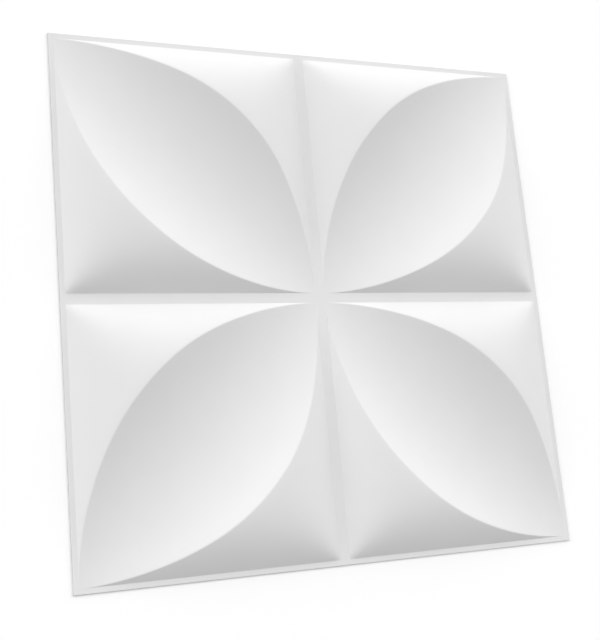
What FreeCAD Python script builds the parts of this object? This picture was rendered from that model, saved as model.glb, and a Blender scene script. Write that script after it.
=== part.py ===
import FreeCAD, Part
import math
import os

# A square wall panel tile, vacuum formed from one thin sheet. Flat bands run round the
# rim and cross in the middle, and each of the four cells between them holds one petal:
# a round trough between two raised crests, with a domed corner field on either side of it.
# The tile lies on its back: +Z is the face normal and z = 0 is the back of the bands.

doc = FreeCAD.newDocument("wall_panel_tile")

# Driving dimensions, in millimetres
sheet = doc.addObject("Spreadsheet::Sheet", "dimensions")
driving = [
    ("tile_side", 500.0, "outer side of the square tile"),
    ("sheet_thickness", 1.0, "thickness of the sheet"),
    ("groove_width", 9.4, "flat cross band between two cells"),
    ("rim_width", 4.7, "flat band along the tile's edge"),
    ("crest_height", 20.0, "top of the crests above the face of the bands"),
    ("petal_width", 145.6, "widest distance between a petal's two crests"),
    ("dome_fullness", 0.58, "0 is a straight slope, 1 is level where it meets the crest"),
]
for row, (alias, value, meaning) in enumerate(driving, start=1):
    sheet.set("A%d" % row, alias)
    sheet.set("B%d" % row, "%g" % value)
    sheet.set("C%d" % row, meaning)
    sheet.setAlias("B%d" % row, alias)
doc.recompute()

# How finely the crest, and a dome between band and crest, are sampled. The crest's stations
# crowd a little towards the tip, and the dome's lines towards the corner of their field.
CREST_STEPS = 8
DOME_STEPS = 3
TIP_CROWDING = 0.2
CORNER_CROWDING = 0.5
SOLVE_STEPS = 50

cell_side = (sheet.tile_side - sheet.groove_width - 2 * sheet.rim_width) / 2
half_diagonal = cell_side / math.sqrt(2)
half_petal = sheet.petal_width / 2
trough_radius = (half_petal ** 2 + sheet.crest_height ** 2) / (2 * sheet.crest_height)
dome_reach = (half_diagonal - half_petal) / 2


# The relief, measured inside one cell

def trough_height(across):
    """The petal is a round trough; across is the distance from its centre line."""
    return trough_radius - math.sqrt(trough_radius ** 2 - across ** 2)


def dome_height(side_a, side_b):
    """A corner field rises from both bands and rounds off over its own diagonal."""
    if side_a <= 0 or side_b <= 0:
        return 0.0
    reach = side_a * side_b / math.hypot(side_a, side_b) / dome_reach
    return sheet.crest_height * reach * (1 + sheet.dome_fullness * (1 - reach))


def corner_sides(along, across):
    """Distances from the two bands that meet at the corner a field belongs to."""
    inward = half_diagonal - across
    return (inward + along) / math.sqrt(2), (inward - along) / math.sqrt(2)


def crest_offset(along):
    """Distance from the centre line at which trough and dome meet in the crest."""
    low = 0.0
    high = min(half_petal, half_diagonal - along)
    for _ in range(SOLVE_STEPS):
        middle = (low + high) / 2
        if trough_height(middle) < dome_height(*corner_sides(along, middle)):
            low = middle
        else:
            high = middle
    return low


def crest_stations():
    """Places along half a petal, from its middle to its tip."""
    stations = []
    for step in range(CREST_STEPS + 1):
        share = step / CREST_STEPS
        crowded = math.sin(share * math.pi / 2)
        stations.append(half_diagonal * (share + TIP_CROWDING * (crowded - share)))
    return stations


# The crest of one half petal, from its middle to its tip: (along, across)
crest = [(along, crest_offset(along)) for along in crest_stations()]
crest[-1] = (half_diagonal, 0.0)


# Smooth faces through a grid of points

def spline_poles(points):
    """Poles of the spline through the points; a row shrunk to a point stays one."""
    steps = len(points) - 1
    if points[0].distanceToPoint(points[-1]) < 1e-9:
        return [points[0]] * (steps + 3)
    curve = Part.BSplineCurve()
    curve.interpolate(Points=points, Parameters=[step / steps for step in range(steps + 1)])
    return curve.getPoles()


def spline_knots(steps):
    """Multiplicities and knots of a cubic with one span for each step."""
    return [4] + [1] * (steps - 1) + [4], [step / steps for step in range(steps + 1)]


def smooth_face(grid):
    """A face through a grid of points, whose edges depend on its edge points alone."""
    rows = [spline_poles(row) for row in grid]
    columns = [spline_poles(list(column)) for column in zip(*rows)]
    poles = [list(row) for row in zip(*columns)]
    mults_along, knots_along = spline_knots(len(grid) - 1)
    mults_across, knots_across = spline_knots(len(grid[0]) - 1)
    surface = Part.BSplineSurface()
    surface.buildFromPolesMultsKnots(
        poles, mults_along, mults_across, knots_along, knots_across, False, False, 3, 3)
    return surface.toShape()


def cell_point(along, across, height):
    """From petal directions to the tile's own: the petal lies on the cell's diagonal."""
    centre = (sheet.groove_width + cell_side) / 2
    return FreeCAD.Vector(
        centre + (along + across) / math.sqrt(2),
        centre + (along - across) / math.sqrt(2),
        height)


def crest_edge(end, side, level):
    """The crest from a petal's middle to its tip, on the line that the dome ends on too."""
    curve = Part.BSplineCurve()
    points = []
    for along, offset in crest:
        points.append(cell_point(end * along, side * offset, level + trough_height(offset)))
    curve.buildFromPolesMultsKnots(spline_poles(points), *spline_knots(CREST_STEPS), False, 3)
    return curve.toShape()


def trough_face(level):
    """The petal: the piece of a round cylinder that its crests enclose."""
    cylinder = Part.Cylinder()
    cylinder.Radius = trough_radius
    cylinder.Center = cell_point(0, 0, level + trough_radius)
    cylinder.Axis = FreeCAD.Vector(1, 1, 0)
    ring = [crest_edge(end, side, level) for end, side in ((1, 1), (1, -1), (-1, -1), (-1, 1))]
    face = Part.Face(cylinder, Part.Wire(ring))
    face.validate()
    return face


def foot_place(along):
    """How far from its field's corner a line of the dome leaves the band's edge."""
    share = along / half_diagonal
    return cell_side * share * (1 - CORNER_CROWDING * (1 - share) ** 2)


def dome_grid(end, side, level):
    """Half a corner field: lines that climb from the band's edge to the crest."""
    grid = []
    for along, offset in crest:
        crest_far, crest_near = corner_sides(along, offset)
        foot_far = foot_place(along)
        row = []
        for step in range(DOME_STEPS + 1):
            share = step / DOME_STEPS
            far = foot_far + share * (crest_far - foot_far)
            near = share * crest_near
            point_along = (far - near) / math.sqrt(2)
            point_across = half_diagonal - (far + near) / math.sqrt(2)
            height = level + dome_height(far, near)
            row.append(cell_point(end * point_along, side * point_across, height))
        grid.append(row)
    return grid


def relief_faces(level):
    """All the faces of one cell's relief, standing on the given level."""
    faces = [trough_face(level)]
    for side in (1, -1):
        for end in (1, -1):
            faces.append(smooth_face(dome_grid(end, side, level)))
    return faces


def cell_walls():
    """The sheet's own thickness, shown along the cell's four straight sides."""
    near = sheet.groove_width / 2
    far = near + cell_side
    corners = [(near, near), (far, near), (far, far), (near, far)]
    walls = []
    for index in range(4):
        start = corners[index]
        stop = corners[(index + 1) % 4]
        outline = [
            FreeCAD.Vector(start[0], start[1], 0),
            FreeCAD.Vector(stop[0], stop[1], 0),
            FreeCAD.Vector(stop[0], stop[1], sheet.sheet_thickness),
            FreeCAD.Vector(start[0], start[1], sheet.sheet_thickness),
        ]
        walls.append(Part.Face(Part.makePolygon(outline + outline[:1])))
    return walls


# One cell's relief: the formed sheet, as thick everywhere as it is in the flat bands
relief = doc.addObject("Part::Feature", "relief")
shell_faces = relief_faces(sheet.sheet_thickness) + relief_faces(0.0) + cell_walls()
shell = Part.makeShell(shell_faces)
shell.sewShape()
relief.Shape = Part.makeSolid(shell)
relief.Placement = FreeCAD.Placement()

# The other three cells mirror the first about the tile's centre lines
mirror_x = doc.addObject("Part::Mirroring", "relief_left")
mirror_x.Source = relief
mirror_x.Normal = FreeCAD.Vector(1, 0, 0)
mirror_y = doc.addObject("Part::Mirroring", "relief_right_lower")
mirror_y.Source = relief
mirror_y.Normal = FreeCAD.Vector(0, 1, 0)
mirror_both = doc.addObject("Part::Mirroring", "relief_left_lower")
mirror_both.Source = mirror_x
mirror_both.Normal = FreeCAD.Vector(0, 1, 0)

# The flat bands: the sheet's outline, less a window for each cell
outline = doc.addObject("Part::Box", "sheet_outline")
outline.setExpression("Length", "dimensions.tile_side")
outline.setExpression("Width", "dimensions.tile_side")
outline.setExpression("Height", "dimensions.sheet_thickness")
outline.setExpression("Placement.Base.x", "-dimensions.tile_side / 2")
outline.setExpression("Placement.Base.y", "-dimensions.tile_side / 2")

window_side = "(dimensions.tile_side - dimensions.groove_width - 2 * dimensions.rim_width) / 2"
windows = []
for name, sign_x, sign_y in (("right", 1, 1), ("left", -1, 1), ("left_lower", -1, -1),
                             ("right_lower", 1, -1)):
    window = doc.addObject("Part::Box", "window_" + name)
    window.setExpression("Length", window_side)
    window.setExpression("Width", window_side)
    window.setExpression("Height", "dimensions.sheet_thickness")
    for axis, sign in (("x", sign_x), ("y", sign_y)):
        edge = "dimensions.groove_width / 2"
        if sign < 0:
            edge = "-dimensions.groove_width / 2 - " + window_side
        window.setExpression("Placement.Base." + axis, edge)
    windows.append(window)

all_windows = doc.addObject("Part::MultiFuse", "windows")
all_windows.Shapes = windows
bands = doc.addObject("Part::Cut", "flat_bands")
bands.Base = outline
bands.Tool = all_windows

# One sheet: bands and reliefs are the same material
tile = doc.addObject("Part::MultiFuse", "panel_tile")
tile.Shapes = [bands, relief, mirror_x, mirror_y, mirror_both]
tile.Label = "panel_tile"
doc.recompute()

for item in doc.Objects:
    if "Invalid" in item.State or "Error" in item.State:
        raise RuntimeError("%s did not build: %s" % (item.Name, item.State))
if tile.Shape.isNull() or not tile.Shape.isValid():
    raise RuntimeError("the tile's shape is not valid")
if len(tile.Shape.Solids) != 1:
    raise RuntimeError("the tile is not one solid: %d" % len(tile.Shape.Solids))

os.makedirs("parts", exist_ok=True)
tile.Shape.exportStep("parts/%s.step" % tile.Label)
print(tile.Label, "volume %.0f mm3" % tile.Shape.Volume, tile.Shape.BoundBox)
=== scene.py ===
import bpy
import math
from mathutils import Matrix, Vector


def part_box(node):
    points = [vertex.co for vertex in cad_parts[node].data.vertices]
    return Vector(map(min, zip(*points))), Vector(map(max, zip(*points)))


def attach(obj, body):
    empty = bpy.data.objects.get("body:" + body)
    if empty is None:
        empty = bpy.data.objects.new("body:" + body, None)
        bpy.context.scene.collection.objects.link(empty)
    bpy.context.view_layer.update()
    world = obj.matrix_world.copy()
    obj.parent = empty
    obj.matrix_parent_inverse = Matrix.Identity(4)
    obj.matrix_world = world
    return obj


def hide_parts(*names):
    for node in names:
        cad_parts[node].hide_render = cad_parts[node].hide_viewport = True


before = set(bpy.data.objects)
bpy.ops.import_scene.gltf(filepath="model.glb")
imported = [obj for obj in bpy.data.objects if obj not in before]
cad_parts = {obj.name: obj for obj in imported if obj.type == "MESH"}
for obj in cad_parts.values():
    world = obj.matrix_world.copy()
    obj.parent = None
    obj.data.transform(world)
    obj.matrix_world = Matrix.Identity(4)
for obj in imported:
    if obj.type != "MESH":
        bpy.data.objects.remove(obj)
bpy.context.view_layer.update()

tileLow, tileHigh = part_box("panel_tile")
print("frame loaded")

# everything is in metres; the tile lies on its back, relief up, as the frame has it

formedSheet = {
    "thickness": 0.0010,
    "grooveWidth": 0.0094,     # cross band between two cells
    "rimWidth": 0.0047,        # band along the tile's edge
    "petalWidth": 0.1456,      # widest, from crest to crest
    "domeFullness": 0.58,      # 0 straight slope, 1 level at the crest
    "footRadius": 0.00020,     # how softly a wall leaves its band
    "crestSoftness": 0.00035,  # how far the crest is rounded down
    "crestFade": 0.0025,       # below this height the crest gets sharper
    "edgeBreak": 0.00012,      # worn-off corner of the cut edge
    "crestRows": 100,          # steps along a crest, tip to tip
    "faceColumns": (40, 26),   # across dome and trough, decorated side
    "backColumns": (18, 10),   # the same on the back
    "solveSteps": 40,          # halvings in the search for the crest
    "weldDigits": 7,           # decimals of a metre in which welded points agree
    "sharpAngle": 38,          # degrees, past which an edge is shaded hard
}

tileSide = tileHigh[0] - tileLow[0]
crestHeight = tileHigh[2] - tileLow[2] - formedSheet["thickness"]
cellSide = (tileSide - formedSheet["grooveWidth"] - 2 * formedSheet["rimWidth"]) / 2
halfDiagonal = cellSide / math.sqrt(2)
halfPetal = formedSheet["petalWidth"] / 2
troughRadius = (halfPetal ** 2 + crestHeight ** 2) / (2 * crestHeight)
domeReach = (halfDiagonal - halfPetal) / 2


# one cell's relief: along is measured on the petal's diagonal, across from it

def troughHeight(across):
    # the petal is a round trough; past its radius only the dome counts
    return troughRadius - math.sqrt(max(troughRadius ** 2 - across ** 2, 0.0))


def domeHeight(sideA, sideB):
    # rises from both bands and rounds off over the field's own diagonal
    if sideA <= 0 or sideB <= 0:
        return 0.0
    out = sideA * sideB / math.hypot(sideA, sideB)
    foot = formedSheet["footRadius"]
    out = math.hypot(out, foot) - foot
    reach = out / domeReach
    return crestHeight * reach * (1 + formedSheet["domeFullness"] * (1 - reach))


def cornerSides(along, across):
    # distances from the two bands that meet at the corner of a dome
    inward = halfDiagonal - across
    return (inward + along) / math.sqrt(2), (inward - along) / math.sqrt(2)


def reliefHeight(along, across):
    # the lower of trough and dome, with the crest between them slightly rounded
    trough = troughHeight(across)
    dome = domeHeight(*cornerSides(abs(along), across))
    lower = min(trough, dome)
    soft = formedSheet["crestSoftness"] * lower / (lower + formedSheet["crestFade"])
    return (trough + dome) / 2 - math.hypot((trough - dome) / 2, soft)


def crestOffset(along):
    # how far from the diagonal trough and dome are equally high
    low, high = 0.0, min(halfPetal, halfDiagonal - along)
    for _ in range(formedSheet["solveSteps"]):
        middle = (low + high) / 2
        if troughHeight(middle) < domeHeight(*cornerSides(along, middle)):
            low = middle
        else:
            high = middle
    return low


def crestStations(rows):
    # (along, across) from one tip of the petal to the other
    stations = []
    for row in range(rows + 1):
        along = halfDiagonal * (2 * row / rows - 1)
        across = 0.0 if row in (0, rows) else crestOffset(abs(along))
        stations.append((along, across))
    return stations


def reliefRows(columns):
    # one row per station: from the band, up the dome, over the crest, down to the valley
    domeColumns, troughColumns = columns
    rows = []
    for along, offset in crestStations(formedSheet["crestRows"]):
        far, near = cornerSides(abs(along), offset)
        footFar = cellSide * abs(along) / halfDiagonal
        side = 1 if along >= 0 else -1
        row = []
        for column in range(domeColumns + 1):
            share = 0.5 - 0.5 * math.cos(math.pi * column / domeColumns)
            toFar = footFar + share * (far - footFar)
            toNear = share * near
            pointAlong = side * (toFar - toNear) / math.sqrt(2)
            row.append((pointAlong, halfDiagonal - (toFar + toNear) / math.sqrt(2)))
        for column in range(1, troughColumns + 1):
            share = math.cos(math.pi / 2 * column / troughColumns)
            row.append((along, offset * share))
        rows.append(row)
    return rows


# the mesh of the whole sheet

class WeldedMesh:
    # points that fall on one another become one vertex
    def __init__(self):
        self.points = []
        self.index = {}
        self.faces = []

    def vertex(self, point):
        key = tuple(round(value, formedSheet["weldDigits"]) for value in point)
        if key not in self.index:
            self.index[key] = len(self.points)
            self.points.append(point)
        return self.index[key]

    def face(self, corners, flip=False):
        ring = []
        for corner in corners:
            number = self.vertex(corner)
            if number not in ring:
                ring.append(number)
        if len(ring) > 2:
            self.faces.append(ring[::-1] if flip else ring)

    def build(self, name):
        mesh = bpy.data.meshes.new(name)
        mesh.from_pydata(self.points, [], self.faces)
        mesh.validate()
        mesh.shade_smooth()
        mesh.set_sharp_from_angle(angle=math.radians(formedSheet["sharpAngle"]))
        piece = bpy.data.objects.new(name, mesh)
        bpy.context.scene.collection.objects.link(piece)
        return piece


def addRelief(mesh, columns, level, upward):
    # the four cells mirror one another, and so do the two halves of each
    centre = (formedSheet["grooveWidth"] + cellSide) / 2
    rows = reliefRows(columns)
    heights = [[reliefHeight(*point) for point in row] for row in rows]
    for signX in (1, -1):
        for signY in (1, -1):
            for half in (1, -1):
                grid = []
                for row, rowHeights in zip(rows, heights):
                    line = []
                    for (along, across), height in zip(row, rowHeights):
                        x = signX * (centre + (along + half * across) / math.sqrt(2))
                        y = signY * (centre + (along - half * across) / math.sqrt(2))
                        line.append((x, y, level + height))
                    grid.append(line)
                flip = (signX * signY * half > 0) != upward
                for a, b in zip(grid, grid[1:]):
                    for i in range(len(a) - 1):
                        mesh.face((a[i], b[i], b[i + 1], a[i + 1]), flip)


def bandLines():
    # from edge to edge, at the places where the cells' own edges have their points
    near = formedSheet["grooveWidth"] / 2
    steps = formedSheet["crestRows"] // 2
    cellLines = [near + cellSide * step / steps for step in range(steps + 1)]
    edgeLine = tileSide / 2 - formedSheet["edgeBreak"]
    return [-edgeLine] + [-line for line in reversed(cellLines)] + cellLines + [edgeLine]


def addBands(mesh, lines, level, upward):
    # the first and last strips are the rim, the middle one is the crossing band
    inBand = (0, len(lines) // 2 - 1, len(lines) - 2)
    for i, (x0, x1) in enumerate(zip(lines, lines[1:])):
        for j, (y0, y1) in enumerate(zip(lines, lines[1:])):
            if i in inBand or j in inBand:
                ring = ((x0, y0, level), (x1, y0, level), (x1, y1, level), (x0, y1, level))
                mesh.face(ring, not upward)


def addCutEdge(mesh, lines):
    # the cut sides, with their two long corners just broken
    outer = tileSide / 2
    inner = outer - formedSheet["edgeBreak"]
    thickness = formedSheet["thickness"]
    profile = ((inner, thickness), (outer, thickness - formedSheet["edgeBreak"]),
               (outer, formedSheet["edgeBreak"]), (inner, 0.0))
    for c, s in ((1, 0), (0, 1), (-1, 0), (0, -1)):    # cosine and sine of each side's turn
        rails = []
        for out, z in profile:
            places = [-out] + lines[1:-1] + [out]
            rails.append([(c * out - s * place, s * out + c * place, z) for place in places])
        for i in range(len(lines) - 1):
            for upper, lower in zip(rails, rails[1:]):
                mesh.face((upper[i], upper[i + 1], lower[i + 1], lower[i]), True)


def makeSheet():
    mesh = WeldedMesh()
    lines = bandLines()
    addRelief(mesh, formedSheet["faceColumns"], formedSheet["thickness"], True)
    addBands(mesh, lines, formedSheet["thickness"], True)
    addRelief(mesh, formedSheet["backColumns"], 0.0, False)
    addBands(mesh, lines, 0.0, False)
    addCutEdge(mesh, lines)
    return mesh.build("formed_sheet")


sheetPiece = makeSheet()
print("sheet formed:", len(sheetPiece.data.polygons), "faces")


# the finish of the sheet

sheetFinish = {
    "colour": (0.800, 0.800, 0.798, 1.0),
    "shade": (0.775, 0.775, 0.772, 1.0),   # the slow mottle's darker side
    "roughness": (0.50, 0.60),
    "bumpDistance": 0.00003,
    "bumpStrength": 0.35,
    "specular": 0.32,
    "grainSize": 900.0,        # pebbles to a metre
    "waveSize": 28.0,          # slow waves to a metre
    "grainAmount": 0.6,        # the grain's share of the bump, beside the waves
}

# painted shade: the whole cut edge, mottle included, is coloured far darker than the face for the
# shade along the tile's sides; its roughness and bump are its own
edgeFinishWithPaintedShade = {
    "colour": (0.50, 0.50, 0.495, 1.0),    # painted shade: the cut edge is coloured dark to stand in for the shade it lies in
    "shade": (0.40, 0.40, 0.395, 1.0),
    "roughness": (0.60, 0.75),
    "bumpDistance": 0.00008,
    "bumpStrength": 0.5,
    "specular": 0.25,
    "grainSize": 2200.0,
    "waveSize": 28.0,
    "grainAmount": 0.6,
}

grainSockets = {"Grain Size": "grainSize", "Wave Size": "waveSize", "Grain Amount": "grainAmount"}
noiseDetail = {"grain": 3.0, "wave": 2.0}            # how many finer layers each noise has
mixColourA, mixColourB, mixColourResult = 6, 7, 2    # the colour sockets of a Mix node, by number


def newGroup(name, inputs, outputs):
    group = bpy.data.node_groups.new(name, "ShaderNodeTree")
    for label, kind, value in inputs:
        socket = group.interface.new_socket(label, in_out="INPUT", socket_type=kind)
        socket.default_value = value
    for label, kind in outputs:
        group.interface.new_socket(label, in_out="OUTPUT", socket_type=kind)
    return group, group.nodes.new("NodeGroupInput"), group.nodes.new("NodeGroupOutput")


def makeGrainGroup():
    # the fine pebble that the sheet is rolled with, over a slow unevenness
    group, given, result = newGroup(
        "sheet grain",
        [(label, "NodeSocketFloat", sheetFinish[key]) for label, key in grainSockets.items()],
        [("Height", "NodeSocketFloat"), ("Mottle", "NodeSocketFloat")])
    nodes, links = group.nodes, group.links
    place = nodes.new("ShaderNodeTexCoord")
    grain = nodes.new("ShaderNodeTexNoise")
    grain.inputs["Detail"].default_value = noiseDetail["grain"]
    wave = nodes.new("ShaderNodeTexNoise")
    wave.inputs["Detail"].default_value = noiseDetail["wave"]
    links.new(place.outputs["Object"], grain.inputs["Vector"])
    links.new(place.outputs["Object"], wave.inputs["Vector"])
    links.new(given.outputs["Grain Size"], grain.inputs["Scale"])
    links.new(given.outputs["Wave Size"], wave.inputs["Scale"])
    blend = nodes.new("ShaderNodeMix")
    blend.data_type = "FLOAT"
    links.new(given.outputs["Grain Amount"], blend.inputs["Factor"])
    links.new(wave.outputs["Fac"], blend.inputs["A"])
    links.new(grain.outputs["Fac"], blend.inputs["B"])
    links.new(blend.outputs["Result"], result.inputs["Height"])
    links.new(wave.outputs["Fac"], result.inputs["Mottle"])
    return group


def makePlastic(name, finish, grainGroup):
    material = bpy.data.materials.new(name)
    material.use_nodes = True
    nodes, links = material.node_tree.nodes, material.node_tree.links
    shader = nodes["Principled BSDF"]
    shader.inputs["Specular IOR Level"].default_value = finish["specular"]
    grain = nodes.new("ShaderNodeGroup")
    grain.node_tree = grainGroup
    for label, key in grainSockets.items():
        grain.inputs[label].default_value = finish[key]
    colour = nodes.new("ShaderNodeMix")
    colour.data_type = "RGBA"
    colour.inputs[mixColourA].default_value = finish["shade"]
    colour.inputs[mixColourB].default_value = finish["colour"]
    links.new(grain.outputs["Mottle"], colour.inputs["Factor"])
    links.new(colour.outputs[mixColourResult], shader.inputs["Base Color"])
    rough = nodes.new("ShaderNodeMapRange")
    rough.inputs["To Min"].default_value = finish["roughness"][0]
    rough.inputs["To Max"].default_value = finish["roughness"][1]
    links.new(grain.outputs["Mottle"], rough.inputs["Value"])
    links.new(rough.outputs["Result"], shader.inputs["Roughness"])
    bump = nodes.new("ShaderNodeBump")
    bump.inputs["Distance"].default_value = finish["bumpDistance"]
    bump.inputs["Strength"].default_value = finish["bumpStrength"]
    links.new(grain.outputs["Height"], bump.inputs["Height"])
    links.new(bump.outputs["Normal"], shader.inputs["Normal"])
    return material


grainGroup = makeGrainGroup()
sheetPiece.data.materials.append(makePlastic("matte white sheet", sheetFinish, grainGroup))
# the second material paints the cut edge dark as shade
sheetPiece.data.materials.append(makePlastic("cut sheet edge in painted shade", edgeFinishWithPaintedShade, grainGroup))
for polygon in sheetPiece.data.polygons:
    outward = max(abs(polygon.center.x), abs(polygon.center.y))
    if outward > tileSide / 2 - formedSheet["edgeBreak"]:
        polygon.material_index = 1                   # the cut edge, coloured dark as painted shade
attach(sheetPiece, "root")
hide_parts("panel_tile")
print("sheet finished")


# floor and sky

studio = {
    "floorSide": 6.0,
    "floorDrop": 0.00015,                 # keeps the floor off the tile's back
    "floorColour": (0.97, 0.97, 0.97, 1.0),
    "floorGlow": 0.07,                    # in the picture alone, so that the floor reads as white
    "skyColour": (1.0, 1.0, 1.0, 1.0),
    "skyInPicture": 1.0,                  # strength that the picture sees, which is white
    "ambience": 0.33,                     # the dim sky between the soft boxes
    "softBoxes": ((35.0, 3.84), (145.0, 4.14)),   # degrees from +X towards +Y, and strength
    "boxHeight": 22.0,                    # degrees above the floor
    "boxFocus": 17.0,                     # how fast a box dims away from its middle
}


def pictureRays(nodes, links):
    # 1 for what the picture and its reflections see, 0 for what lights the tile
    path = nodes.new("ShaderNodeLightPath")
    total = path.outputs["Is Camera Ray"]
    for kind in ("Is Glossy Ray", "Is Transmission Ray"):
        either = nodes.new("ShaderNodeMath")
        either.operation = "MAXIMUM"
        links.new(total, either.inputs[0])
        links.new(path.outputs[kind], either.inputs[1])
        total = either.outputs[0]
    return total


def makeFloor():
    half = studio["floorSide"] / 2
    corners = [(-half, -half, 0), (half, -half, 0), (half, half, 0), (-half, half, 0)]
    mesh = bpy.data.meshes.new("studio_floor")
    mesh.from_pydata(corners, [], [(0, 1, 2, 3)])
    floor = bpy.data.objects.new("studio_floor", mesh)
    floor.location.z = -studio["floorDrop"]
    bpy.context.scene.collection.objects.link(floor)
    material = bpy.data.materials.new("pale floor")
    material.use_nodes = True
    nodes, links = material.node_tree.nodes, material.node_tree.links
    nodes.remove(nodes["Principled BSDF"])
    matte = nodes.new("ShaderNodeBsdfDiffuse")
    matte.inputs["Color"].default_value = studio["floorColour"]
    glow = nodes.new("ShaderNodeEmission")
    seen = nodes.new("ShaderNodeMath")
    seen.operation = "MULTIPLY"
    seen.inputs[1].default_value = studio["floorGlow"]
    links.new(pictureRays(nodes, links), seen.inputs[0])
    links.new(seen.outputs[0], glow.inputs["Strength"])
    both = nodes.new("ShaderNodeAddShader")
    links.new(matte.outputs[0], both.inputs[0])
    links.new(glow.outputs[0], both.inputs[1])
    links.new(both.outputs[0], nodes["Material Output"].inputs["Surface"])
    mesh.materials.append(material)


def makeSoftBox(nodes, links, towards, boxStrength):
    # brightest in its middle and dimming evenly round it; returns the node that adds its light
    direction = nodes.new("ShaderNodeTexCoord")
    facing = nodes.new("ShaderNodeVectorMath")
    facing.operation = "DOT_PRODUCT"
    facing.inputs[1].default_value = towards
    share = nodes.new("ShaderNodeMapRange")          # 1 in the middle of the box, 0 opposite
    share.inputs["From Min"].default_value = -1.0
    dimming = nodes.new("ShaderNodeMath")
    dimming.operation = "POWER"
    dimming.inputs[1].default_value = studio["boxFocus"]
    sumUp = nodes.new("ShaderNodeMath")
    sumUp.operation = "MULTIPLY_ADD"
    sumUp.inputs[1].default_value = boxStrength
    links.new(direction.outputs["Generated"], facing.inputs[0])
    links.new(facing.outputs["Value"], share.inputs["Value"])
    links.new(share.outputs["Result"], dimming.inputs[0])
    links.new(dimming.outputs[0], sumUp.inputs[0])
    return sumUp


def makeSky():
    # a dim sky with two large soft boxes, left and right beyond the tile's upper edge
    world = bpy.data.worlds.new("studio")
    bpy.context.scene.world = world
    world.use_nodes = True
    nodes, links = world.node_tree.nodes, world.node_tree.links
    background = nodes["Background"]
    background.inputs["Color"].default_value = studio["skyColour"]
    height = math.radians(studio["boxHeight"])
    light = None
    for degrees, boxStrength in studio["softBoxes"]:
        turn = math.radians(degrees)
        towards = (math.cos(height) * math.cos(turn), math.cos(height) * math.sin(turn),
                   math.sin(height))
        sumUp = makeSoftBox(nodes, links, towards, boxStrength)
        if light:
            links.new(light, sumUp.inputs[2])
        else:
            sumUp.inputs[2].default_value = studio["ambience"]    # the first box adds to this alone
        light = sumUp.outputs[0]
    strength = nodes.new("ShaderNodeMix")
    strength.data_type = "FLOAT"
    strength.inputs["B"].default_value = studio["skyInPicture"]
    links.new(light, strength.inputs["A"])
    links.new(pictureRays(nodes, links), strength.inputs["Factor"])
    links.new(strength.outputs["Result"], background.inputs["Strength"])


makeFloor()
makeSky()
print("studio lit")


# the photo's viewpoint, looking down on the tile from its lower left

viewpoint = {
    "place": (-0.4520, -0.2046, 0.9565),
    "turn": (14.182, -23.152, -5.584),   # degrees
    "lens": 67.25,                       # millimetres, on a sensor as wide as the next value
    "sensorWidth": 36.0,
    "shiftUp": -0.0656,                  # share of the picture's width
    "nearest": 0.01,                     # nothing closer to the camera is drawn
}


def makeCamera():
    cameraData = bpy.data.cameras.new("camera")
    cameraData.sensor_fit = "HORIZONTAL"
    cameraData.sensor_width = viewpoint["sensorWidth"]
    cameraData.lens = viewpoint["lens"]
    cameraData.shift_y = viewpoint["shiftUp"]
    cameraData.clip_start = viewpoint["nearest"]
    camera = bpy.data.objects.new("camera", cameraData)
    camera.location = viewpoint["place"]
    camera.rotation_euler = [math.radians(angle) for angle in viewpoint["turn"]]
    bpy.context.scene.collection.objects.link(camera)
    bpy.context.scene.camera = camera


makeCamera()
bpy.context.scene.view_settings.view_transform = "Standard"
print("camera set")
